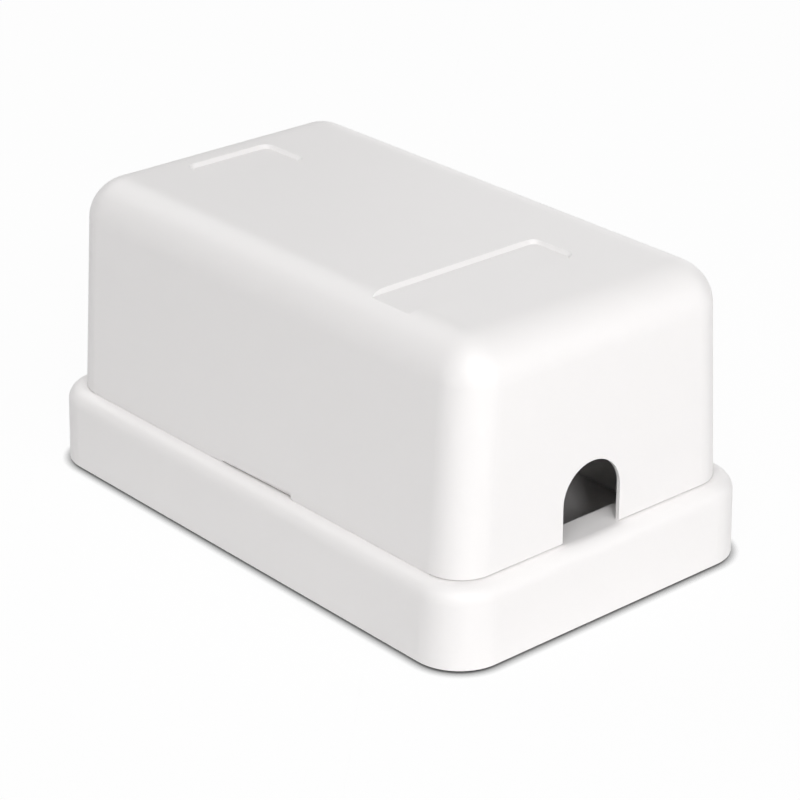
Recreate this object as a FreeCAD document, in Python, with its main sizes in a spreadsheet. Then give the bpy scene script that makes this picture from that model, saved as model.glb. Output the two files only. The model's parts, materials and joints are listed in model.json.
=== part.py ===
import FreeCAD, Part
import os
import Sketcher

# Surface mount jack box: a two-part white housing that is fixed to a wall or a desk and
# carries one snap-in data jack. A cable comes in through the arch in the rear end wall,
# and a plug goes in at the port end.
#
# Frame: X is the width, Y the length and Z points away from the mounting surface.
# The origin is in the middle of the surface that the box is fixed to. The cable entry
# is at the -Y end and the port at the +Y end.

# Driving dimensions in millimetres and degrees: name, value, meaning
DIMENSIONS = [
    ("ground_gap", 0.3, "rim underside above the mounting surface"),
    ("base_length", 65.0, "base along Y at its foot"),
    ("base_width", 40.5, "base along X at its foot"),
    ("base_rise", 8.28, "rim underside to ledge"),
    ("base_corner", 5.13, "corner radius of the base in plan"),
    ("base_draft", 1.5, "draft of the rim, degrees"),
    ("rim_round", 1.6, "rounding along the rim's upper edge"),
    ("rim_wall", 2.0, "outer wall of the rim at its foot"),
    ("ledge_skin", 1.8, "thickness of the ledge"),
    ("inner_wall", 1.2, "wall inside the hollow rim"),
    ("floor_skin", 1.6, "thickness of the base floor"),
    ("floor_recess", 0.8, "floor underside above the rim underside"),
    ("cover_length", 61.2, "cover along Y at the ledge"),
    ("cover_width", 36.75, "cover along X at the ledge"),
    ("cover_rise", 23.24, "ledge to the top of the cover"),
    ("side_draft", 3.6, "draft of the cover's long sides, degrees"),
    ("end_draft", 0.5, "draft of the cover's ends, degrees"),
    ("cover_corner", 4.0, "cover's upright corner radius"),
    ("crown_round", 4.5, "rounding around the cover's top"),
    ("cover_skin", 1.8, "wall thickness of the cover"),
    ("groove_rise", 0.12, "height of the groove around the cover's foot"),
    ("groove_depth", 0.2, "depth of the groove at the cover's ends and corners"),
    ("side_groove", 0.05, "depth of the groove along the cover's long sides"),
    ("upstand_gap", 0.3, "play between cover wall and upstand"),
    ("upstand_wall", 0.9, "thickness of the upstand"),
    ("upstand_rise", 2.4, "upstand above the ledge"),
    ("label_depth", 0.38, "depth of the two flats in the cover's top"),
    ("label_slope", 45.0, "slope of the flats' walls, degrees"),
    ("label_corner", 0.8, "corner radius of the flats' floors"),
    ("rear_flat_left", -15.5, "rear flat's floor, from X"),
    ("rear_flat_right", 6.5, "rear flat's floor, to X"),
    ("rear_flat_near", -19.3, "rear flat's floor, from Y"),
    ("rear_flat_far", -14.1, "rear flat's floor, to Y"),
    ("port_flat_left", -6.4, "port flat's floor, from X"),
    ("port_flat_right", 3.9, "port flat's floor, to X"),
    ("port_flat_near", 18.6, "port flat's floor, from Y"),
    ("port_flat_far", 24.5, "port flat's floor, to Y"),
    ("entry_offset", -1.08, "middle of the cable entry along X"),
    ("entry_width", 7.55, "width of the cable entry"),
    ("entry_rise", 7.7, "height of the cable entry above the ledge"),
    ("entry_skin", 0.45, "thickness of the wall beside and above the cable entry"),
    ("entry_thin", 3.0, "width of the thin wall on each side of the entry and above it"),
    ("pry_length", 11.0, "pry slot along Y"),
    ("pry_middle", -0.85, "middle of the pry slot along Y"),
    ("pry_depth", 1.1, "pry slot into the cover's wall"),
    ("pry_rise", 0.2, "height of the pry slot"),
    ("lead_rise", 1.0, "height of the rounding above the pry slot"),
    ("lead_round", 1.3, "radius of the rounding above the pry slot"),
    ("lead_depth", 0.6, "room of the rounding in the cover's wall"),
    ("lead_lean", 1.2, "angle at which the rounding runs out of the wall, degrees"),
    ("frame_width", 19.2, "port frame along X"),
    ("frame_rise", 19.3, "port frame above the ledge"),
    ("frame_inset", 0.35, "port frame behind the cover's end wall"),
    ("frame_depth", 2.6, "thickness of the port frame"),
    ("frame_play", 0.15, "play around the port frame in the cover"),
    ("jack_play", 0.1, "play around the jack in the port frame"),
    ("screw_spacing", 20.6, "distance between the two screw holes"),
    ("screw_line", -7.0, "screw holes along Y"),
    ("screw_hole", 2.1, "radius of the screw holes"),
    ("screw_boss", 4.0, "radius of the screw bosses"),
    ("screw_boss_rise", 2.3, "screw bosses above the floor"),
    ("screw_seat", 3.2, "radius of the seat for the screw head"),
    ("screw_seat_depth", 1.0, "depth of the seat for the screw head"),
    ("tie_middle", -20.5, "middle of the cable tie anchor along Y"),
    ("tie_width", 6.0, "tie anchor along X"),
    ("tie_length", 6.4, "tie anchor along Y"),
    ("tie_rise", 4.0, "tie anchor above the floor"),
    ("tie_slot_length", 3.8, "slot for the cable tie along Y"),
    ("tie_slot_rise", 1.9, "height of the slot for the cable tie"),
    ("tongue_reach", 14.4, "outer face of the snap tongues"),
    ("tongue_skin", 1.2, "thickness of the snap tongues"),
    ("tongue_length", 8.0, "snap tongues along Y"),
    ("tongue_rise", 13.2, "snap tongues above the floor"),
    ("nose_reach", 0.7, "nose out of the snap tongue"),
    ("nose_rise", 2.0, "height of the nose"),
    ("catch_tip", 15.2, "inner tip of the cover's catches"),
    ("catch_rise", 1.4, "height of the cover's catches"),
    ("catch_foot", 3.6, "catches above the ledge"),
    ("pad_width", 23.0, "foam pads along X"),
    ("pad_skin", 1.0, "thickness of the foam pads"),
    ("front_pad_near", 2.0, "front pad, from Y"),
    ("front_pad_far", 24.0, "front pad, to Y"),
    ("rear_pad_near", -25.0, "rear pad, from Y"),
    ("rear_pad_far", -15.0, "rear pad, to Y"),
    ("rear_pad_width", 11.0, "rear pad along X, between the screw holes"),
    ("liner_skin", 0.1, "thickness of the release liners"),
    ("liner_tab", 1.5, "release liner past the pad's edge"),
    ("jack_width", 14.6, "jack along X"),
    ("jack_foot", 1.2, "jack underside above the ledge"),
    ("jack_rise", 16.2, "height of the jack"),
    ("jack_inset", 0.65, "jack's face behind the cover's end wall"),
    ("jack_depth", 12.0, "front housing along Y"),
    ("port_width", 11.8, "plug opening along X"),
    ("port_rise", 7.0, "plug opening along Z"),
    ("port_foot", 4.4, "plug opening above the jack's underside"),
    ("port_depth", 10.8, "plug opening along Y"),
    ("key_width", 6.2, "keyway for the plug's latch"),
    ("key_rise", 1.6, "height of the keyway"),
    ("key_slot_width", 3.4, "slot below the keyway"),
    ("key_slot_rise", 1.1, "height of the slot below the keyway"),
    ("chamber_rise", 3.6, "contact chamber above the plug opening"),
    ("chamber_front", 1.7, "wall in front of the contact chamber"),
    ("latch_width", 9.0, "jack's spring latch along X"),
    ("latch_root", 2.0, "root of the spring latch along Y"),
    ("latch_skin", 1.2, "thickness of the spring latch"),
    ("latch_gap", 0.5, "gap below the spring latch"),
    ("lug_width", 10.0, "fixed lug along X"),
    ("lug_length", 1.0, "fixed lug along Y"),
    ("lug_drop", 0.9, "fixed lug below the jack"),
    ("comb_rise", 2.2, "comb block along Z"),
    ("comb_rib", 0.5, "thickness of a comb rib"),
    ("comb_depth", 9.2, "comb block along Y"),
    ("contact_pitch", 1.02, "spacing of the port contacts"),
    ("contact_width", 0.4, "port contact along X"),
    ("contact_skin", 0.3, "thickness of a port contact"),
    ("contact_drop", 4.4, "fall of the contact's spring arm"),
    ("contact_back", 5.6, "run of the contact's spring arm along Y"),
    ("contact_gap", 0.05, "contacts below the comb plate"),
    ("board_gap", 0.2, "board behind the front housing"),
    ("board_skin", 1.2, "thickness of the circuit board"),
    ("board_inset", 0.2, "board inside the jack's outline"),
    ("block_depth", 7.0, "terminal block along Y"),
    ("block_inset", 0.1, "terminal block inside the jack's outline"),
    ("row_rise", 5.9, "height of a terminal row"),
    ("channel_depth", 4.5, "cable channel between the rows along Y"),
    ("wire_pitch", 3.4, "spacing of the terminals"),
    ("wire_slot", 1.2, "width of a wire slot"),
    ("wire_slot_depth", 4.5, "depth of a wire slot"),
    ("blade_width", 2.4, "terminal blade along X"),
    ("blade_skin", 0.5, "thickness of a terminal blade"),
    ("blade_inset", 0.8, "blade tip inside the terminal block"),
    ("blade_slit", 0.4, "slit in a terminal blade"),
    ("blade_slit_depth", 3.4, "depth of the slit"),
    ("blade_play", 0.1, "play around a blade in its pocket"),
    ("cap_skin", 0.6, "wall of the wire cap"),
    ("cap_play", 0.1, "play between wire cap and terminal block"),
    ("cap_overlap", 3.0, "wire cap over the terminal block"),
    ("cap_room", 5.0, "room for wires behind the terminal block"),
    ("cap_back", 2.4, "back wall of the wire cap"),
    ("cap_round", 1.2, "rounding of the wire cap's rear edges"),
    ("cap_hole", 3.6, "radius of the wire cap's cable hole"),
    ("stuffer_width", 0.9, "stuffer rib along X"),
    ("stuffer_reach", 0.6, "stuffer rib into the wire slot"),
    ("stuffer_inset", 0.6, "stuffer rib inside its terminal row"),
    ("guide_skin", 1.2, "thickness of the jack guides"),
    ("guide_length", 7.0, "jack guides along Y"),
    ("guide_rise", 11.0, "jack guides above the ledge"),
    ("cradle_skin", 1.4, "thickness of the cradle ribs"),
    ("cradle_offset", 5.0, "cradle ribs off the middle"),
    ("cradle_length", 5.8, "cradle ribs along Y"),
    ("lap", 0.1, "overlap of shapes that become one solid"),
    ("overrun", 1.0, "how far a cutting shape goes past the face it opens"),
]
TOUCH = 1e-4
SIDES = (("left", -1), ("right", 1))
CONTACTS = 8
ROWS = 2
PER_ROW = CONTACTS // ROWS

# Heights and planes that several pieces share, as expressions on the dimensions
LEDGE = "(Dim.ground_gap + Dim.base_rise)"
FLOOR_UNDER = "(Dim.ground_gap + Dim.floor_recess)"
FLOOR_TOP = f"({FLOOR_UNDER} + Dim.floor_skin)"
COVER_TOP = f"({LEDGE} + Dim.cover_rise)"
COVER_INNER_X = "(Dim.cover_width / 2 - Dim.cover_skin)"
COVER_INNER_Y = "(Dim.cover_length / 2 - Dim.cover_skin)"
UPSTAND_X = f"({COVER_INNER_X} - Dim.upstand_gap)"
UPSTAND_Y = f"({COVER_INNER_Y} - Dim.upstand_gap)"
WELL_X = f"({UPSTAND_X} - Dim.upstand_wall)"
WELL_Y = f"({UPSTAND_Y} - Dim.upstand_wall)"
FRAME_FACE = "(Dim.cover_length / 2 - Dim.frame_inset)"
FRAME_BACK = f"({FRAME_FACE} - Dim.frame_depth)"
JACK_FACE = "(Dim.cover_length / 2 - Dim.jack_inset)"
JACK_BACK = f"({JACK_FACE} - Dim.jack_depth)"
JACK_UNDER = f"({LEDGE} + Dim.jack_foot)"
JACK_TOP = f"({JACK_UNDER} + Dim.jack_rise)"
PORT_UNDER = f"({JACK_UNDER} + Dim.port_foot)"
PORT_TOP = f"({PORT_UNDER} + Dim.port_rise)"
CHAMBER_TOP = f"({PORT_TOP} + Dim.chamber_rise)"
COMB_FRONT = f"({JACK_BACK} + Dim.comb_depth)"
COMB_UNDER = f"({CHAMBER_TOP} - Dim.comb_rise)"
BOARD_FRONT = f"({JACK_BACK} - Dim.board_gap)"
BOARD_BACK = f"({BOARD_FRONT} - Dim.board_skin)"
BLOCK_BACK = f"({BOARD_BACK} - Dim.block_depth)"
CAP_MOUTH = f"({BLOCK_BACK} + Dim.cap_overlap)"
CAP_INNER = f"({BLOCK_BACK} - Dim.cap_room)"
CAP_REAR = f"({CAP_INNER} - Dim.cap_back)"

doc = FreeCAD.newDocument("surface_mount_jack_box")
sheet = doc.addObject("Spreadsheet::Sheet", "Dim")
for line, (alias, number, meaning) in enumerate(DIMENSIONS, start=1):
    sheet.set(f"A{line}", alias)
    sheet.set(f"B{line}", str(number))
    sheet.set(f"C{line}", meaning)
    sheet.setAlias(f"B{line}", alias)
doc.recompute()


def value(expression):
    """The number that an expression on the dimensions gives now."""
    result = sheet.evalExpression(expression)
    return float(getattr(result, "Value", result))


def half(width):
    """A range of the given width about the middle plane, as two expressions."""
    return f"-({width}) / 2", f"({width}) / 2"


def span(middle, width):
    """A range of the given width about a place, as two expressions."""
    return f"{middle} - ({width}) / 2", f"{middle} + ({width}) / 2"


# Part primitives and booleans

def block(name, across, along, up):
    """A box between pairs of expressions along X, Y and Z."""
    box = doc.addObject("Part::Box", name)
    for size, axis, (low, high) in zip(("Length", "Width", "Height"), "xyz", (across, along, up)):
        box.setExpression(size, f"({high}) - ({low})")
        box.setExpression(f"Placement.Base.{axis}", low)
    return box


def post(name, radius, height, x, y, z, axis=FreeCAD.Vector(0, 0, 1)):
    """A cylinder from a point along an axis."""
    cylinder = doc.addObject("Part::Cylinder", name)
    cylinder.Placement.Rotation = FreeCAD.Rotation(FreeCAD.Vector(0, 0, 1), axis)
    cylinder.setExpression("Radius", radius)
    cylinder.setExpression("Height", height)
    for letter, place in zip("xyz", (x, y, z)):
        cylinder.setExpression(f"Placement.Base.{letter}", place)
    return cylinder


def joined(name, pieces):
    """One solid from several."""
    fusion = doc.addObject("Part::MultiFuse", name)
    fusion.Shapes = pieces
    fusion.Refine = True
    return fusion


def cut(name, body, tools):
    """A solid with the tools taken out of it."""
    result = doc.addObject("Part::Cut", name)
    result.Base = body
    result.Tool = tools[0] if len(tools) == 1 else joined(f"{name}_cutters", tools)
    result.Refine = True
    return result


def softened(name, solid, radii_of):
    """A solid with round edges; radii_of gives an edge its two radii, or None."""
    doc.recompute()
    fillet = doc.addObject("Part::Fillet", name)
    fillet.Base = solid
    chosen = [(index, radii_of(edge)) for index, edge in enumerate(solid.Shape.Edges, start=1)]
    fillet.Edges = [(index, *radii) for index, radii in chosen if radii]
    return fillet


# PartDesign bodies and their sketches

def new_sketch(body, name, plane, offset="0"):
    """A sketch on an origin plane of its body, moved along the plane's normal."""
    sketch = body.newObject("Sketcher::SketchObject", name)
    support = next(item for item in body.Origin.OriginFeatures if item.Role == plane)
    sketch.AttachmentSupport = [(support, "")]
    sketch.MapMode = "FlatFace"
    sketch.setExpression("AttachmentOffset.Base.z", offset)
    return sketch


def place(sketch, tag, geometry, point, x, y):
    """Ties a sketch point to the origin by two expressions."""
    for letter, kind, expression in (("x", "DistanceX", x), ("y", "DistanceY", y)):
        number = value(expression)
        index = sketch.addConstraint(Sketcher.Constraint(kind, -1, 1, geometry, point, number))
        sketch.renameConstraint(index, f"{tag}_{letter}")
        sketch.setExpression(f"Constraints.{tag}_{letter}", expression)


def polygon(sketch, tag, points):
    """A closed outline through points given as pairs of expressions."""
    corners = [FreeCAD.Vector(value(x), value(y), 0) for x, y in points]
    first = sketch.GeometryCount
    count = len(points)
    for index in range(count):
        side = Part.LineSegment(corners[index], corners[(index + 1) % count])
        sketch.addGeometry(side, False)
    for index in range(count):
        following = first + (index + 1) % count
        sketch.addConstraint(Sketcher.Constraint("Coincident", first + index, 2, following, 1))
    for index, (x, y) in enumerate(points):
        place(sketch, f"{tag}{index}", first + index, 1, x, y)


def rounded_rectangle(sketch, tag, across, along, radius):
    """A rectangle with round corners between pairs of expressions."""
    (left, right), (low, high) = across, along
    r = value(radius)
    x0, x1, y0, y1 = value(left), value(right), value(low), value(high)
    first = sketch.GeometryCount
    ends = [((x0 + r, y0), (x1 - r, y0)), ((x1, y0 + r), (x1, y1 - r)),
            ((x1 - r, y1), (x0 + r, y1)), ((x0, y1 - r), (x0, y0 + r))]
    for start, end in ends:
        side = Part.LineSegment(FreeCAD.Vector(*start, 0), FreeCAD.Vector(*end, 0))
        sketch.addGeometry(side, False)
    centres = [(x1 - r, y0 + r), (x1 - r, y1 - r), (x0 + r, y1 - r), (x0 + r, y0 + r)]
    quarter = Part.Circle().LastParameter / 4
    for turn, centre in enumerate(centres):
        circle = Part.Circle(FreeCAD.Vector(*centre, 0), FreeCAD.Vector(0, 0, 1), r)
        corner = Part.ArcOfCircle(circle, quarter * (turn - 1), quarter * turn)
        sketch.addGeometry(corner, False)
    for side in range(4):
        line_id, arc_id, next_id = first + side, first + 4 + side, first + (side + 1) % 4
        sketch.addConstraint(Sketcher.Constraint("Tangent", line_id, 2, arc_id, 1))
        sketch.addConstraint(Sketcher.Constraint("Tangent", arc_id, 2, next_id, 1))
        sketch.addConstraint(Sketcher.Constraint("Vertical" if side % 2 else "Horizontal", line_id))
    for other in range(1, 4):
        sketch.addConstraint(Sketcher.Constraint("Equal", first + 4, first + 4 + other))
    bounds = [("low", "DistanceY", first, low), ("right", "DistanceX", first + 1, right),
              ("high", "DistanceY", first + 2, high), ("left", "DistanceX", first + 3, left)]
    for word, kind, line_id, expression in bounds:
        number = value(expression)
        index = sketch.addConstraint(Sketcher.Constraint(kind, -1, 1, line_id, 1, number))
        sketch.renameConstraint(index, f"{tag}_{word}")
        sketch.setExpression(f"Constraints.{tag}_{word}", expression)
    index = sketch.addConstraint(Sketcher.Constraint("Radius", first + 4, r))
    sketch.renameConstraint(index, f"{tag}_radius")
    sketch.setExpression(f"Constraints.{tag}_radius", radius)


def arch(sketch, tag, middle, width, foot, rise):
    """A doorway shape: straight sides with a half-round head."""
    radius = f"({width}) / 2"
    spring = f"({foot}) + ({rise}) - {radius}"
    corners = [(f"({middle}) - {radius}", spring), (f"({middle}) - {radius}", foot),
               (f"({middle}) + {radius}", foot), (f"({middle}) + {radius}", spring)]
    spots = [FreeCAD.Vector(value(x), value(y), 0) for x, y in corners]
    first = sketch.GeometryCount
    for start, end in zip(spots, spots[1:]):
        sketch.addGeometry(Part.LineSegment(start, end), False)
    centre = FreeCAD.Vector(value(middle), value(spring), 0)
    circle = Part.Circle(centre, FreeCAD.Vector(0, 0, 1), value(radius))
    sketch.addGeometry(Part.ArcOfCircle(circle, 0, circle.LastParameter / 2), False)
    for index in range(2):
        sketch.addConstraint(Sketcher.Constraint("Coincident", first + index, 2, first + index + 1, 1))
    sketch.addConstraint(Sketcher.Constraint("Tangent", first + 2, 2, first + 3, 1))
    sketch.addConstraint(Sketcher.Constraint("Tangent", first + 3, 2, first, 1))
    sketch.addConstraint(Sketcher.Constraint("Vertical", first + 2))
    for index, (x, y) in enumerate(corners[:3]):
        place(sketch, f"{tag}{index}", first + index, 1, x, y)


def add_feature(body, kind, name, sketch, length=None, **settings):
    """A PartDesign feature made from a sketch."""
    feature = body.newObject(f"PartDesign::{kind}", name)
    feature.Profile = sketch
    if length is not None:
        feature.setExpression("Length", length)
    for setting, choice in settings.items():
        setattr(feature, setting, choice)
    doc.recompute()
    return feature


def round_edges(body, name, radius, chosen):
    """Rounds the edges of a body that a test picks."""
    tip = body.Tip
    names = [f"Edge{index}" for index, edge in enumerate(tip.Shape.Edges, start=1) if chosen(edge)]
    fillet = body.newObject("PartDesign::Fillet", name)
    fillet.Base = (tip, names)
    fillet.setExpression("Radius", radius)
    doc.recompute()


def is_level(edge, height):
    """Whether an edge lies at one height."""
    level = value(height)
    return abs(edge.BoundBox.ZMin - level) < TOUCH and abs(edge.BoundBox.ZMax - level) < TOUCH


def prism(name, plane, offset, length, draw, **settings):
    """A body padded from one sketch. On the XZ plane it runs from Y = -offset towards -Y."""
    body = doc.addObject("PartDesign::Body", name)
    outline = new_sketch(body, f"{name}_outline", plane, offset)
    draw(outline, **settings)
    add_feature(body, "Pad", f"{name}_pad", outline, length)
    return body


# The base: a hollow rim around a floor, with an upstand that the cover goes over

def base_tray():
    """The moulded tray, before its fittings are added."""
    body = doc.addObject("PartDesign::Body", "tray")
    length, width = half("Dim.base_length"), half("Dim.base_width")
    outline = new_sketch(body, "rim_outline", "XY_Plane", "Dim.ground_gap")
    rounded_rectangle(outline, "rim", width, length, "Dim.base_corner")
    rim = add_feature(body, "Pad", "rim", outline, "Dim.base_rise")
    rim.setExpression("TaperAngle", "-Dim.base_draft")
    doc.recompute()
    round_edges(body, "rim_rounding", "Dim.rim_round", lambda edge: is_level(edge, LEDGE))

    wall = new_sketch(body, "upstand_outline", "XY_Plane", FLOOR_UNDER)
    upstand_x, upstand_y = half(f"2 * {UPSTAND_X}"), half(f"2 * {UPSTAND_Y}")
    corner = "Dim.cover_corner - Dim.cover_skin + Dim.upstand_gap"
    rounded_rectangle(wall, "upstand", upstand_x, upstand_y, corner)
    rise = f"{LEDGE} + Dim.upstand_rise - {FLOOR_UNDER}"
    add_feature(body, "Pad", "upstand", wall, rise)

    well = new_sketch(body, "well_outline", "XY_Plane", f"{LEDGE} + Dim.upstand_rise")
    well_x, well_y = half(f"2 * {WELL_X}"), half(f"2 * {WELL_Y}")
    rounded_rectangle(well, "well", well_x, well_y, "Dim.upstand_wall")
    add_feature(body, "Pocket", "well", well, f"{LEDGE} + Dim.upstand_rise - {FLOOR_TOP}")

    hollow = new_sketch(body, "rim_hollow_outline", "XY_Plane", "Dim.ground_gap")
    for tag, grow_x, grow_y, radius in (
            ("outside", "Dim.base_width / 2 - Dim.rim_wall", "Dim.base_length / 2 - Dim.rim_wall",
             "Dim.base_corner - Dim.rim_wall"),
            ("inside", f"{WELL_X} + Dim.inner_wall", f"{WELL_Y} + Dim.inner_wall", "Dim.inner_wall")):
        rounded_rectangle(hollow, tag, half(f"2 * ({grow_x})"), half(f"2 * ({grow_y})"), radius)
    add_feature(body, "Pocket", "rim_hollow", hollow, "Dim.base_rise - Dim.ledge_skin", Reversed=True)

    under = new_sketch(body, "pad_recess_outline", "XY_Plane", "Dim.ground_gap")
    rounded_rectangle(under, "recess", well_x, well_y, "Dim.upstand_wall")
    add_feature(body, "Pocket", "pad_recess", under, "Dim.floor_recess", Reversed=True)
    return body


def port_frame():
    """The plate at the port end that the jack snaps into."""
    return block("port_frame", half("Dim.frame_width"), (FRAME_BACK, FRAME_FACE),
                 (f"{LEDGE} - Dim.ledge_skin / 2", f"{LEDGE} + Dim.frame_rise"))


def jack_window():
    """The room of the jack in the port frame and in the upstand behind it."""
    return block("jack_window", half("Dim.jack_width + 2 * Dim.jack_play"),
                 (f"{FRAME_BACK} - Dim.overrun", f"{FRAME_FACE} + Dim.overrun"),
                 (f"{JACK_UNDER} - Dim.jack_play", f"{JACK_TOP} + Dim.jack_play"))


def snap_tongue(side, sign):
    """A springy tongue on one long side, with a nose that holds the cover."""
    outer = f"{sign} * Dim.tongue_reach"
    inner = f"{sign} * (Dim.tongue_reach - Dim.tongue_skin)"
    nose = f"{sign} * (Dim.tongue_reach + Dim.nose_reach)"
    top = f"{FLOOR_TOP} + Dim.tongue_rise"
    foot = f"{FLOOR_TOP} - Dim.floor_skin / 2"
    outline = [(inner, foot), (outer, foot), (outer, f"{top} - Dim.nose_rise"),
               (nose, f"{top} - Dim.nose_rise + Dim.nose_reach / 2"), (outer, top), (inner, top)]
    return prism(f"tongue_{side}", "XZ_Plane", "-Dim.tongue_length / 2", "Dim.tongue_length",
                 polygon, tag="tongue", points=outline)


def tie_anchor():
    """A bridge on the floor that a cable tie goes through."""
    bridge = block("tie_bridge", span("Dim.entry_offset", "Dim.tie_width"),
                   span("Dim.tie_middle", "Dim.tie_length"),
                   (f"{FLOOR_TOP} - Dim.floor_skin / 2", f"{FLOOR_TOP} + Dim.tie_rise"))
    gap = block("tie_slot", span("Dim.entry_offset", "Dim.tie_width + Dim.overrun"),
                span("Dim.tie_middle", "Dim.tie_slot_length"),
                (FLOOR_TOP, f"{FLOOR_TOP} + Dim.tie_slot_rise"))
    return cut("tie_anchor", bridge, [gap])


def jack_supports():
    """Guides beside the jack and ribs below it."""
    pieces = []
    inner = "Dim.jack_width / 2 + Dim.jack_play"
    back = f"{FRAME_BACK} - Dim.guide_length"
    for side, sign in SIDES:
        faces = [f"{sign} * ({inner})", f"{sign} * ({inner} + Dim.guide_skin)"]
        rib = span(f"{sign} * Dim.cradle_offset", "Dim.cradle_skin")
        foot = f"{FLOOR_TOP} - Dim.floor_skin / 2"
        pieces.append(block(f"guide_{side}", sorted(faces, key=value), (back, f"{FRAME_BACK} + Dim.lap"),
                            (foot, f"{LEDGE} + Dim.guide_rise")))
        pieces.append(block(f"cradle_{side}", rib, (back, f"{back} + Dim.cradle_length"),
                            (foot, JACK_UNDER)))
    return pieces


def entry_gap():
    """The gap in the upstand behind the cable entry, where the ledge makes the sill."""
    return block("entry_gap", span("Dim.entry_offset", "Dim.entry_width + 2 * Dim.entry_thin"),
                 (f"-{UPSTAND_Y} - Dim.overrun", f"-{WELL_Y} + Dim.overrun"),
                 (LEDGE, f"{LEDGE} + Dim.upstand_rise + Dim.overrun"))


def base():
    """The whole base moulding."""
    solids = [base_tray(), port_frame(), tie_anchor()] + jack_supports()
    solids += [snap_tongue(side, sign) for side, sign in SIDES]
    holes = [jack_window(), entry_gap()]
    for side, sign in SIDES:
        x = f"{sign} * Dim.screw_spacing / 2"
        top = f"({FLOOR_TOP} + Dim.screw_boss_rise)"
        solids.append(post(f"screw_boss_{side}", "Dim.screw_boss", f"{top} - {FLOOR_UNDER}",
                           x, "Dim.screw_line", FLOOR_UNDER))
        holes.append(post(f"screw_hole_{side}", "Dim.screw_hole", f"{top}", x, "Dim.screw_line", "0"))
        holes.append(post(f"screw_seat_{side}", "Dim.screw_seat", "Dim.screw_seat_depth + Dim.overrun",
                          x, "Dim.screw_line", f"{top} - Dim.screw_seat_depth"))
    return cut("base", joined("base_solids", solids), holes)


# The cover: a drafted shell with soft edges

def drafted_block(name, inset, top, crown=None):
    """A block with the cover's draft, set in from its outside, with round corners and crown."""
    wedge = doc.addObject("Part::Wedge", f"{name}_wedge")
    wedge.Placement.Rotation = FreeCAD.Rotation(FreeCAD.Vector(1, 0, 0), 90)
    wedge.setExpression("Placement.Base.z", LEDGE)
    rise = f"({top} - {LEDGE})"
    foot = {"X": f"(Dim.cover_width / 2 - {inset})", "Z": f"(Dim.cover_length / 2 - {inset})"}
    draft = {"X": "Dim.side_draft", "Z": "Dim.end_draft"}
    for letter in "XZ":
        head = f"({foot[letter]} - {rise} * tan({draft[letter]} * 1 deg))"
        wedge.setExpression(f"{letter}min", f"-{foot[letter]}")
        wedge.setExpression(f"{letter}max", foot[letter])
        wedge.setExpression(f"{letter}2min", f"-{head}")
        wedge.setExpression(f"{letter}2max", head)
    wedge.setExpression("Ymin", "0")
    wedge.setExpression("Ymax", rise)

    corner_radius = value(f"Dim.cover_corner - {inset}")
    crown_radius = value(crown) if crown else None

    def edge_radii(edge):
        if is_level(edge, top):
            return crown and (crown_radius, crown_radius)
        return edge.BoundBox.ZLength > TOUCH and (corner_radius, corner_radius)

    return softened(name, wedge, edge_radii)


def label_flat(end):
    """The room of a shallow flat with sloping walls, sunk into the cover's top."""
    across = (f"Dim.{end}_flat_left", f"Dim.{end}_flat_right")
    along = (f"Dim.{end}_flat_near", f"Dim.{end}_flat_far")
    room = prism(f"{end}_flat", "XY_Plane", f"{COVER_TOP} - Dim.label_depth",
                 "Dim.label_depth + Dim.overrun", rounded_rectangle, tag="flat", across=across,
                 along=along, radius="Dim.label_corner")
    room.Tip.setExpression("TaperAngle", "Dim.label_slope")
    return room


def foot_groove():
    """The room of a fine groove all round the cover's foot, shallower along the long sides."""
    slab = block("foot_slab", half("Dim.cover_width + Dim.overrun"), half("Dim.cover_length + Dim.overrun"),
                 (LEDGE, f"{LEDGE} + Dim.groove_rise"))
    core = drafted_block("foot_core", "Dim.groove_depth", f"({LEDGE} + Dim.overrun)")
    sides = block("foot_sides", half("Dim.cover_width - 2 * Dim.side_groove"),
                  half("Dim.cover_length - 2 * Dim.cover_corner"),
                  (f"{LEDGE} - Dim.overrun", f"{LEDGE} + Dim.overrun"))
    return cut("foot_groove", slab, [core, sides])


def cable_entry():
    """The arch in the rear end wall, and the thinned wall around it."""
    end = "Dim.cover_length / 2"
    inner = f"{end} - Dim.cover_skin - Dim.overrun"
    foot = f"{LEDGE} - Dim.overrun"
    hole = prism("cable_entry", "XZ_Plane", inner, "Dim.cover_skin + 2 * Dim.overrun", arch, tag="entry",
                 middle="Dim.entry_offset", width="Dim.entry_width", foot=foot,
                 rise="Dim.entry_rise + Dim.overrun")
    thin = prism("entry_thinning", "XZ_Plane", inner, "Dim.cover_skin + Dim.overrun - Dim.entry_skin",
                 arch, tag="thin", middle="Dim.entry_offset",
                 width="Dim.entry_width + 2 * Dim.entry_thin", foot=foot,
                 rise="Dim.entry_rise + Dim.entry_thin + Dim.overrun")
    return [hole, thin]


def port_opening():
    """The doorway in the port end wall that passes over the port frame."""
    return block("port_opening", half("Dim.frame_width + 2 * Dim.frame_play"),
                 (f"{COVER_INNER_Y} - Dim.overrun", "Dim.cover_length / 2 + Dim.overrun"),
                 (f"{LEDGE} - Dim.overrun", f"{LEDGE} + Dim.frame_rise + Dim.frame_play"))


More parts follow.
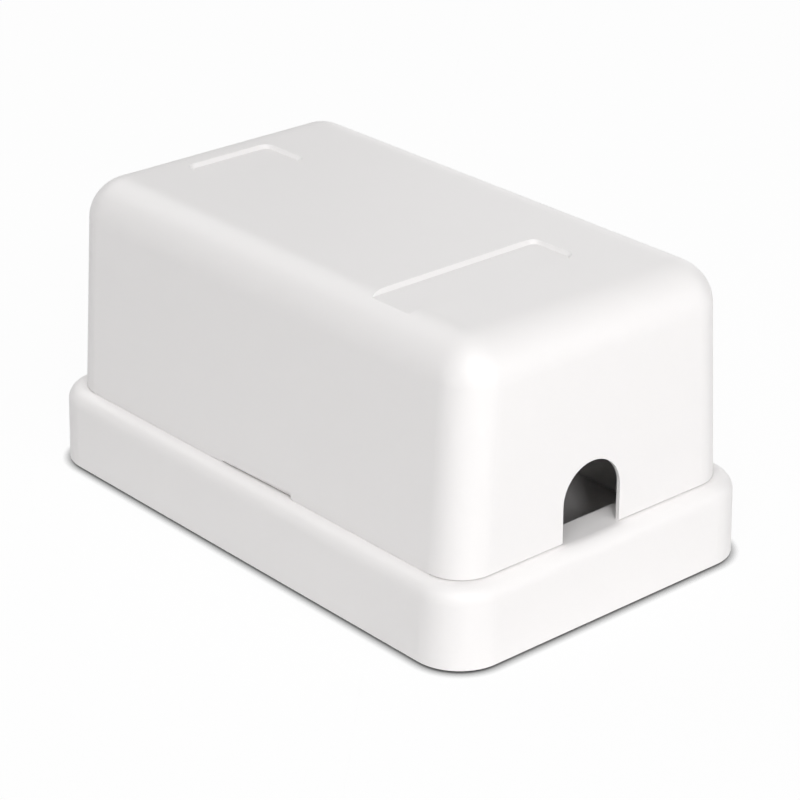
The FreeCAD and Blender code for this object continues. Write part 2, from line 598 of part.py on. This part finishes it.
def pry_slot():
    """A slit at the foot of the left wall for the blade of a screwdriver, and the rounding above it."""
    face = "-Dim.cover_width / 2"
    outside = f"{face} - Dim.overrun"
    along = span("Dim.pry_middle", "Dim.pry_length")
    slit = block("pry_slit", (outside, f"{face} + Dim.pry_depth"), along,
                 (f"{LEDGE} - Dim.overrun", f"{LEDGE} + Dim.pry_rise"))
    room = block("lead_room", (outside, f"{face} + Dim.lead_depth"), along,
                 (LEDGE, f"{LEDGE} + Dim.lead_rise"))
    draft = "Dim.lead_rise * tan(Dim.side_draft * 1 deg)"
    lean = FreeCAD.Vector(-value("tan(Dim.lead_lean * 1 deg)"), 1, 0)
    core = post("lead_core", "Dim.lead_round", "Dim.pry_length + 2 * Dim.overrun",
                f"{face} + {draft} + Dim.lead_round", f"{along[0]} - Dim.overrun",
                f"{LEDGE} + Dim.lead_rise", lean)
    return [slit, cut("lead_in", room, [core])]


def catch(side, sign):
    """A rib inside the cover that the nose of a snap tongue holds down."""
    tip = f"{sign} * Dim.catch_tip"
    root = f"{sign} * ({COVER_INNER_X} + Dim.cover_skin / 2)"
    low = f"{LEDGE} + Dim.catch_foot"
    outline = [(root, low), (tip, f"{low} + Dim.catch_rise / 2"), (tip, f"{low} + Dim.catch_rise"),
               (root, f"{low} + Dim.catch_rise")]
    return prism(f"catch_{side}", "XZ_Plane", "-Dim.tongue_length / 2", "Dim.tongue_length", polygon,
                 tag="catch", points=outline)


def cover():
    """The whole cover moulding."""
    ceiling = f"({COVER_TOP} - Dim.cover_skin)"
    outside = drafted_block("outside", "0", COVER_TOP, "Dim.crown_round")
    inside = drafted_block("inside", "Dim.cover_skin", ceiling, "Dim.crown_round - Dim.cover_skin")
    shell = cut("cover_shell", outside, [inside])
    with_catches = joined("cover_solids", [shell] + [catch(side, sign) for side, sign in SIDES])
    openings = [label_flat("rear"), label_flat("port"), port_opening(), foot_groove()]
    openings += pry_slot() + cable_entry()
    return cut("cover", with_catches, openings)


# The jack: a front housing, a board, and a terminal block under a wire cap

def jack_housing():
    """The front housing with the plug opening, its spring latch and its fixed lug."""
    long = (JACK_BACK, JACK_FACE)
    past_face = f"{JACK_FACE} + Dim.overrun"
    cavity_back = f"{JACK_FACE} - Dim.port_depth"
    shell = block("housing_block", half("Dim.jack_width"), long, (JACK_UNDER, JACK_TOP))
    latch_root = block("latch_root", half("Dim.latch_width"), (JACK_BACK, f"{JACK_BACK} + Dim.latch_root"),
                       (f"{JACK_TOP} - Dim.lap", f"{JACK_TOP} + Dim.latch_gap + Dim.latch_skin"))
    latch_arm = block("latch_arm", half("Dim.latch_width"), (JACK_BACK, f"{FRAME_BACK} - Dim.jack_play"),
                      (f"{JACK_TOP} + Dim.latch_gap", f"{JACK_TOP} + Dim.latch_gap + Dim.latch_skin"))
    lug = block("fixed_lug", half("Dim.lug_width"), (f"{FRAME_BACK} - Dim.jack_play - Dim.lug_length",
                                                     f"{FRAME_BACK} - Dim.jack_play"),
                (f"{JACK_UNDER} - Dim.lug_drop", f"{JACK_UNDER} + Dim.lap"))
    port = block("plug_opening", half("Dim.port_width"), (cavity_back, past_face), (PORT_UNDER, PORT_TOP))
    key = block("keyway", half("Dim.key_width"), (cavity_back, past_face),
                (f"{PORT_UNDER} - Dim.key_rise", f"{PORT_UNDER} + Dim.lap"))
    key_slot = block("key_slot", half("Dim.key_slot_width"), (cavity_back, past_face),
                     (f"{PORT_UNDER} - Dim.key_rise - Dim.key_slot_rise",
                      f"{PORT_UNDER} - Dim.key_rise + Dim.lap"))
    chamber = block("contact_chamber", half("Dim.port_width"),
                    (f"{JACK_BACK} - Dim.overrun", f"{JACK_FACE} - Dim.chamber_front"),
                    (f"{PORT_TOP} - Dim.lap", CHAMBER_TOP))
    solid = joined("housing_solids", [shell, latch_root, latch_arm, lug])
    return cut("jack_housing", solid, [port, key, key_slot, chamber])


def contact_place(index):
    """Where a port contact stands along X, as an expression."""
    return f"Dim.contact_pitch * {index - (CONTACTS - 1) / 2}"


def contact_comb():
    """The block that keeps the port contacts apart."""
    plate = block("comb_plate", half("Dim.port_width - 2 * Dim.jack_play"), (JACK_BACK, COMB_FRONT),
                  (COMB_UNDER, CHAMBER_TOP))
    ribs = []
    for index in range(CONTACTS + 1):
        middle = f"{contact_place(index)} - Dim.contact_pitch / 2"
        ribs.append(block(f"comb_rib_{index + 1}", span(middle, "Dim.comb_rib"), (JACK_BACK, COMB_FRONT),
                          (f"{PORT_TOP} + Dim.jack_play", f"{COMB_UNDER} + Dim.lap")))
    return joined("contact_comb", [plate] + ribs)


def port_contact(number):
    """A spring contact: a straight run under the comb and an arm that slopes back down."""
    body = doc.addObject("PartDesign::Body", f"port_contact_{number}")
    middle = contact_place(number - 1)
    profile = new_sketch(body, f"contact_profile_{number}", "YZ_Plane", f"{middle} - Dim.contact_width / 2")
    top = f"{COMB_UNDER} - Dim.contact_gap"
    skin = "Dim.contact_skin"
    nose = f"{COMB_FRONT} + 2 * {skin}"
    tip = f"{COMB_FRONT} - Dim.contact_back"
    low = f"{top} - Dim.contact_drop"
    polygon(profile, "p", [
        (BOARD_FRONT, f"{top} - {skin}"), (f"{COMB_FRONT} - {skin}", f"{top} - {skin}"),
        (f"{COMB_FRONT} + {skin} / 2", f"{top} - 2 * {skin}"), (tip, low),
        (f"{tip} + {skin}", f"{low} - {skin}"), (f"{nose} - {skin} / 2", f"{top} - 3 * {skin}"),
        (nose, f"{top} - {skin} / 2"), (f"{nose} - {skin}", top), (BOARD_FRONT, top)])
    add_feature(body, "Pad", f"contact_strip_{number}", profile, "Dim.contact_width")
    return body


def terminal_places():
    """Middle of each terminal along X and Z, as expressions."""
    rows = (f"{JACK_UNDER} + Dim.row_rise / 2", f"{JACK_TOP} - Dim.row_rise / 2")
    return [(f"Dim.wire_pitch * {column - (PER_ROW - 1) / 2}", row)
            for row in rows for column in range(PER_ROW)]


def terminal_block():
    """Two rows of slotted terminals with a cable channel between them."""
    inset = "Dim.block_inset"
    body = block("terminal_body", half(f"Dim.jack_width - 2 * {inset}"), (BLOCK_BACK, BOARD_BACK),
                 (f"{JACK_UNDER} + {inset}", f"{JACK_TOP} - {inset}"))
    before = f"{BLOCK_BACK} - Dim.overrun"
    channel = block("cable_channel", half("Dim.jack_width + Dim.overrun"),
                    (before, f"{BLOCK_BACK} + Dim.channel_depth"),
                    (f"{JACK_UNDER} + Dim.row_rise", f"{JACK_TOP} - Dim.row_rise"))
    tools = [channel]
    for number, (x, z) in enumerate(terminal_places(), start=1):
        if number <= PER_ROW:
            tools.append(block(f"wire_slot_{number}", span(x, "Dim.wire_slot"),
                               (before, f"{BLOCK_BACK} + Dim.wire_slot_depth"),
                               (f"{JACK_UNDER} - Dim.overrun", f"{JACK_TOP} + Dim.overrun")))
        tools.append(block(f"blade_pocket_{number}", span(x, "Dim.blade_width + 2 * Dim.blade_play"),
                           (f"{BLOCK_BACK} + Dim.blade_inset - Dim.blade_play",
                            f"{BOARD_BACK} + Dim.overrun"),
                           span(z, "Dim.blade_skin + 2 * Dim.blade_play")))
    return cut("terminal_block", body, tools)


def terminal_blade(number, x, z):
    """A forked blade that bites into a wire."""
    back = f"{BLOCK_BACK} + Dim.blade_inset"
    plate = block(f"blade_plate_{number}", span(x, "Dim.blade_width"), (back, BOARD_BACK),
                  span(z, "Dim.blade_skin"))
    slit = block(f"blade_slit_{number}", span(x, "Dim.blade_slit"),
                 (f"{back} - Dim.overrun", f"{back} + Dim.blade_slit_depth"),
                 span(z, "2 * Dim.blade_skin"))
    return cut(f"terminal_blade_{number}", plate, [slit])


def circuit_board():
    """The board between the port contacts and the terminals."""
    inset = "Dim.board_inset"
    return block("circuit_board", half(f"Dim.jack_width - 2 * {inset}"), (BOARD_BACK, BOARD_FRONT),
                 (f"{JACK_UNDER} + {inset}", f"{JACK_TOP} - {inset}"))


def wire_cap():
    """The cap that presses the wires into the blades and holds the cable."""
    play = "Dim.cap_play - Dim.block_inset"
    outer = f"Dim.jack_width / 2 + Dim.cap_skin + {play}"
    hull = block("cap_hull", half(f"2 * ({outer})"), (CAP_REAR, CAP_MOUTH),
                 (f"{JACK_UNDER} - Dim.cap_skin - ({play})", f"{JACK_TOP} + Dim.cap_skin + {play}"))
    rear, radius = value(CAP_REAR), value("Dim.cap_round")
    soft = softened("cap_soft_hull", hull, lambda edge: (
        edge.BoundBox.YMax - rear < TOUCH or edge.BoundBox.YLength > radius) and (radius, radius))
    room = block("cap_room", half(f"Dim.jack_width + 2 * ({play})"),
                 (CAP_INNER, f"{CAP_MOUTH} + Dim.overrun"),
                 (f"{JACK_UNDER} - ({play})", f"{JACK_TOP} + {play}"))
    hole = post("cap_cable_hole", "Dim.cap_hole", "Dim.cap_back + 2 * Dim.overrun", "0",
                f"{CAP_REAR} - Dim.overrun", f"({JACK_UNDER} + {JACK_TOP}) / 2", FreeCAD.Vector(0, 1, 0))
    ribs = []
    for number, (x, z) in enumerate(terminal_places(), start=1):
        ribs.append(block(f"stuffer_{number}", span(x, "Dim.stuffer_width"),
                          (f"{CAP_INNER} - Dim.lap", f"{BLOCK_BACK} + Dim.stuffer_reach"),
                          span(z, "Dim.row_rise - 2 * Dim.stuffer_inset")))
    shell = cut("cap_shell", soft, [room, hole])
    return joined("wire_cap", [shell] + ribs)


# Foam pads with their release liners, under the floor

def foam_pad(word, width, along):
    """A foam pad and the liner below it, as two pieces."""
    liner_top = f"{FLOOR_UNDER} - Dim.pad_skin"
    pad = block(f"foam_pad_{word}", half(width), along, (liner_top, FLOOR_UNDER))
    liner = block(f"release_liner_{word}", half(width),
                  (along[0], f"{along[1]} + Dim.liner_tab"), (f"{liner_top} - Dim.liner_skin", liner_top))
    return [pad, liner]


pieces = [base(), cover(), jack_housing(), contact_comb(), circuit_board(), terminal_block(), wire_cap()]
pieces += foam_pad("front", "Dim.pad_width", ("Dim.front_pad_near", "Dim.front_pad_far"))
pieces += foam_pad("rear", "Dim.rear_pad_width", ("Dim.rear_pad_near", "Dim.rear_pad_far"))
pieces += [port_contact(number) for number in range(1, CONTACTS + 1)]
pieces += [terminal_blade(number, x, z) for number, (x, z) in enumerate(terminal_places(), start=1)]
doc.recompute()

failed = [item.Name for item in doc.Objects if {"Invalid", "Error"} & set(item.State)]
if failed:
    raise RuntimeError(f"objects that did not compute: {failed}")
for piece in pieces:
    if piece.Shape.isNull() or not piece.Shape.isValid() or len(piece.Shape.Solids) != 1:
        raise RuntimeError(f"{piece.Label}: not one valid solid")

os.makedirs("parts", exist_ok=True)
for piece in pieces:
    piece.Shape.exportStep(f"parts/{piece.Label}.step")
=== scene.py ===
import json
import math

import bpy
from mathutils import Matrix, Vector


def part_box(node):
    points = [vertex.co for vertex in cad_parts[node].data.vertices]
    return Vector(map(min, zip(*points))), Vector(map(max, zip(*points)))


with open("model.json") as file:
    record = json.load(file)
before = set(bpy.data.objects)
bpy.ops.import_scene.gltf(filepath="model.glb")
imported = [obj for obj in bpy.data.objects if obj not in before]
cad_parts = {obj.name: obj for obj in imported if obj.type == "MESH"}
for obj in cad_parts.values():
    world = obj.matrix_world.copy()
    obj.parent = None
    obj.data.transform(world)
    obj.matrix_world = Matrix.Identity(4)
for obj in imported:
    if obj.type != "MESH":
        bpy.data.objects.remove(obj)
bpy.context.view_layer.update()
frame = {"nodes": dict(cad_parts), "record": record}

MM = 0.001
MICRON = 0.000001

# ---------------------------------------------------------------- node helpers

# The sockets of a Mix node that carry its two colours and their mixture
MIX_FIRST, MIX_SECOND, MIX_RESULT = 6, 7, 2


def new_material(name):
    """A material with a Principled shader on its output, and nothing else."""
    material = bpy.data.materials.new(name)
    material.use_nodes = True
    tree = material.node_tree
    tree.nodes.clear()
    output = tree.nodes.new("ShaderNodeOutputMaterial")
    shader = tree.nodes.new("ShaderNodeBsdfPrincipled")
    tree.links.new(shader.outputs["BSDF"], output.inputs["Surface"])
    return material, tree, shader


def noise(tree, scale, detail=3.0):
    """Object-space noise with a scale in features per metre."""
    place = tree.nodes.new("ShaderNodeTexCoord")
    texture = tree.nodes.new("ShaderNodeTexNoise")
    texture.inputs["Scale"].default_value = scale
    texture.inputs["Detail"].default_value = detail
    tree.links.new(place.outputs["Object"], texture.inputs["Vector"])
    return texture.outputs["Fac"]


def spread(tree, value, low, high):
    """Maps a 0 to 1 value to a range."""
    ramp = tree.nodes.new("ShaderNodeMapRange")
    ramp.inputs["To Min"].default_value = low
    ramp.inputs["To Max"].default_value = high
    tree.links.new(value, ramp.inputs["Value"])
    return ramp.outputs["Result"]


def tint(tree, value, dark, light):
    """Mixes two colours by a 0 to 1 value."""
    mix = tree.nodes.new("ShaderNodeMix")
    mix.data_type = "RGBA"
    mix.inputs[MIX_FIRST].default_value = (*dark, 1)
    mix.inputs[MIX_SECOND].default_value = (*light, 1)
    tree.links.new(value, mix.inputs["Factor"])
    return mix.outputs[MIX_RESULT]


def calculate(tree, operation, value, other):
    """A Math node on a socket and either another socket or a number."""
    node = tree.nodes.new("ShaderNodeMath")
    node.operation = operation
    tree.links.new(value, node.inputs[0])
    if isinstance(other, bpy.types.NodeSocket):
        tree.links.new(other, node.inputs[1])
    else:
        node.inputs[1].default_value = other
    return node.outputs[0]


def blend(tree, share, first, second, output):
    """Mixes two shaders by the share of the second, and feeds the output node."""
    mix = tree.nodes.new("ShaderNodeMixShader")
    tree.links.new(share, mix.inputs["Fac"])
    tree.links.new(first, mix.inputs[1])
    tree.links.new(second, mix.inputs[2])
    tree.links.new(mix.outputs["Shader"], output.inputs["Surface"])


def bump(tree, shader, height, distance):
    """Bump from a height value, with its depth in metres."""
    relief = tree.nodes.new("ShaderNodeBump")
    relief.inputs["Distance"].default_value = distance
    tree.links.new(height, relief.inputs["Height"])
    tree.links.new(relief.outputs["Normal"], shader.inputs["Normal"])


# ------------------------------------------------------------------- materials

PLASTIC_IOR = 1.52
FULL_GLOSS, SOFT_GLOSS = 0.5, 0.32
SMOOTH_DETAIL = 2.0
STRIP_DARKEST = 0.82

# Features per metre
CLOUD_SCALE = 90
GLOSS_SCALE = 400
FINE_GRAIN = 9000
STRIP_CLOUD_SCALE = 900
STRIP_MARKS_SCALE = 5000

# Colour, share by which the cloud darkens it, roughness from and to, grain per metre, grain depth
# and specular level
PLASTICS = {
    "white_abs": ((0.872, 0.855, 0.85), 0.012, (0.34, 0.42), FINE_GRAIN, 1.5 * MICRON, SOFT_GLOSS),
    "jack_plastic": ((0.045, 0.045, 0.05), 0.1, (0.36, 0.46), FINE_GRAIN, 3 * MICRON, FULL_GLOSS),
    "comb_plastic": ((0.09, 0.09, 0.1), 0.1, (0.4, 0.5), FINE_GRAIN, 3 * MICRON, FULL_GLOSS),
    "terminal_plastic": ((0.8, 0.8, 0.77), 0.03, (0.38, 0.46), FINE_GRAIN, 3 * MICRON, FULL_GLOSS),
    "cap_plastic": ((0.07, 0.07, 0.075), 0.1, (0.4, 0.5), FINE_GRAIN, 3 * MICRON, FULL_GLOSS),
    "board": ((0.02, 0.16, 0.07), 0.15, (0.22, 0.3), 4000, 3 * MICRON, FULL_GLOSS),
    "foam": ((0.8, 0.8, 0.78), 0.08, (0.8, 0.95), 2500, 40 * MICRON, FULL_GLOSS),
    "liner": ((0.55, 0.66, 0.78), 0.02, (0.25, 0.32), 3000, 2 * MICRON, FULL_GLOSS),
}

# Colour, and roughness from and to
METALS = {
    "gold_plate": ((1.0, 0.74, 0.32), (0.16, 0.26)),
    "tin_plate": ((0.78, 0.78, 0.76), (0.28, 0.4)),
}


def darkened(colour, factor):
    """A colour with each channel times a factor."""
    return tuple(channel * factor for channel in colour)


def moulded(name, colour, vary, rough, grain, depth, gloss):
    """Plastic or foam: a faint cloud in its colour, an uneven gloss and a fine grain."""
    material, tree, shader = new_material(name)
    cloud = noise(tree, CLOUD_SCALE, SMOOTH_DETAIL)
    shade = tint(tree, cloud, darkened(colour, 1 - vary), colour)
    tree.links.new(shade, shader.inputs["Base Color"])
    tree.links.new(spread(tree, noise(tree, GLOSS_SCALE), *rough), shader.inputs["Roughness"])
    shader.inputs["IOR"].default_value = PLASTIC_IOR
    shader.inputs["Specular IOR Level"].default_value = gloss
    bump(tree, shader, noise(tree, grain, SMOOTH_DETAIL), depth)
    return material


def metal(name, colour, rough):
    """Plated strip metal: a cloud in its colour, and marks that change its gloss."""
    material, tree, shader = new_material(name)
    shader.inputs["Metallic"].default_value = 1.0
    cloud = noise(tree, STRIP_CLOUD_SCALE)
    shade = tint(tree, cloud, darkened(colour, STRIP_DARKEST), colour)
    tree.links.new(shade, shader.inputs["Base Color"])
    marks = noise(tree, STRIP_MARKS_SCALE)
    tree.links.new(spread(tree, marks, *rough), shader.inputs["Roughness"])
    return material


def make_materials():
    """One material for each of the record's slots."""
    materials = {name: moulded(name, *finish) for name, finish in PLASTICS.items()}
    materials.update({name: metal(name, *finish) for name, finish in METALS.items()})
    return materials


def dress_cad_nodes(materials):
    """Gives every CAD node the material of its slot."""
    for row in frame["record"]["subparts"]:
        mesh = frame["nodes"][row["node"]].data
        mesh.materials.clear()
        mesh.materials.append(materials[row["material_slot"]])


# -------------------------------------------------------------- floor and light

FLOOR_SIZE = 4.0
FLOOR_COLOUR = (0.92, 0.92, 0.92, 1)
FLOOR_ROUGHNESS = 0.9
FLOOR_GLOSS = 0.2
FLOOR_SHARE = 0.05
# Reach, darkening power and samples of the painted contact shadow that ambient occlusion puts on
# the floor's glow
CONTACT_REACH = 1.0 * MM
CONTACT_SHADOW_POWER = 1.6
CONTACT_SAMPLES = 8
ROOM_STRENGTH = 0.05
WHITE_ALBEDO = 0.86
LAMP_DISTANCE = 0.9
LARGE_LAMP, SMALL_LAMP = 0.6, 0.1
AIM_HEIGHT = 12.0 * MM

# Name, bearing in degrees from +X towards +Y, height in degrees, how bright a white surface
# square to the lamp comes out, and side of the lamp in metres
LAMPS = (
    ("key", 225, 50, 0.485, LARGE_LAMP),
    ("entry_side", 270, 45, 0.09, LARGE_LAMP),
    ("right_low", 285, 14, 0.23, LARGE_LAMP),
    ("far_low", 30, 8, 0.12, LARGE_LAMP),
    ("port_side", 90, 40, 0.24, LARGE_LAMP),
    ("arch_lamp", 238, 26, 0.175, SMALL_LAMP),
)


def white_rays(tree, amount):
    """The given amount for rays that come straight, mirrored or refracted, and 0 for others."""
    rays = tree.nodes.new("ShaderNodeLightPath")
    seen = rays.outputs["Is Camera Ray"]
    for bent in ("Is Glossy Ray", "Is Transmission Ray"):
        seen = calculate(tree, "MAXIMUM", seen, rays.outputs[bent])
    return calculate(tree, "MULTIPLY", seen, amount)


def make_floor():
    """A white floor: it reads as white, and keeps a painted contact shadow, a dark line where
    ambient occlusion darkens its glow under the box.
    """
    bpy.ops.mesh.primitive_plane_add(size=FLOOR_SIZE)
    floor = bpy.context.object
    floor.name = "floor"
    material, tree, shader = new_material("floor")
    shader.inputs["Base Color"].default_value = FLOOR_COLOUR
    shader.inputs["Roughness"].default_value = FLOOR_ROUGHNESS
    shader.inputs["Specular IOR Level"].default_value = FLOOR_GLOSS
    # Painted shade: ambient occlusion darkens the floor's white glow where the box stands on it
    contact = tree.nodes.new("ShaderNodeAmbientOcclusion")
    contact.samples = CONTACT_SAMPLES
    contact.inputs["Distance"].default_value = CONTACT_REACH
    painted_contact_shadow = calculate(tree, "POWER", contact.outputs["AO"], CONTACT_SHADOW_POWER)
    glow = tree.nodes.new("ShaderNodeEmission")
    tree.links.new(painted_contact_shadow, glow.inputs["Strength"])
    output = next(node for node in tree.nodes if node.type == "OUTPUT_MATERIAL")
    blend(tree, white_rays(tree, 1 - FLOOR_SHARE),
          shader.outputs["BSDF"], glow.outputs["Emission"], output)
    floor.data.materials.append(material)


def make_world():
    """Even room light, and a pale backdrop for the rays that show it."""
    world = bpy.data.worlds.new("studio")
    bpy.context.scene.world = world
    world.use_nodes = True
    tree = world.node_tree
    tree.nodes.clear()
    output = tree.nodes.new("ShaderNodeOutputWorld")
    room = tree.nodes.new("ShaderNodeBackground")
    room.inputs["Strength"].default_value = ROOM_STRENGTH
    backdrop = tree.nodes.new("ShaderNodeBackground")
    blend(tree, white_rays(tree, 1),
          room.outputs["Background"], backdrop.outputs["Background"], output)


def softbox(name, bearing, height, strength, size):
    """A square lamp that faces the box."""
    lamp = bpy.data.lights.new(name, "AREA")
    lamp.size = size
    lamp.energy = strength * math.pi ** 2 * LAMP_DISTANCE ** 2 / WHITE_ALBEDO
    turn, rise = math.radians(bearing), math.radians(height)
    level = math.cos(rise)
    away = Vector((level * math.cos(turn), level * math.sin(turn), math.sin(rise)))
    holder = bpy.data.objects.new(name, lamp)
    holder.location = away * LAMP_DISTANCE + Vector((0, 0, AIM_HEIGHT))
    holder.rotation_euler = away.to_track_quat("Z", "Y").to_euler()
    bpy.context.scene.collection.objects.link(holder)


def make_lamps():
    """A key above the camera, soft boxes all round and a small lamp that looks into the arch."""
    for lamp in LAMPS:
        softbox(*lamp)


# ---------------------------------------------------------------------- camera

# Degrees
YAW, PITCH, ROLL = 41.20, 24.88, 0.14
# Metres
DISTANCE = 285.97 * MM
AIM_RIGHT, AIM_UP = 1.06 * MM, -0.69 * MM
NEAREST, FARTHEST = 0.01, 20
# Millimetres, as Blender's cameras take them
LENS, SENSOR_WIDTH = 125.18, 36


def make_camera():
    """The camera looks down on the corner between the cable entry and the pry slot."""
    turn = (Matrix.Rotation(-math.radians(YAW), 4, "Z")
            @ Matrix.Rotation(math.radians(90 - PITCH), 4, "X"))
    rim_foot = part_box("base")[0].z
    aim = Vector((0, 0, rim_foot + AIM_HEIGHT)) + turn.to_3x3() @ Vector((AIM_RIGHT, AIM_UP, 0))
    back = turn.to_3x3() @ Vector((0, 0, 1))
    data = bpy.data.cameras.new("camera")
    data.lens = LENS
    data.sensor_width = SENSOR_WIDTH
    data.clip_start, data.clip_end = NEAREST, FARTHEST
    camera = bpy.data.objects.new("camera", data)
    camera.matrix_world = (Matrix.Translation(aim + back * DISTANCE) @ turn
                           @ Matrix.Rotation(math.radians(ROLL), 4, "Z"))
    bpy.context.scene.collection.objects.link(camera)
    bpy.context.scene.camera = camera


# ----------------------------------------------------------------------- build

make_camera()
dress_cad_nodes(make_materials())
make_floor()
make_world()
make_lamps()
bpy.context.scene.view_settings.view_transform = "Standard"
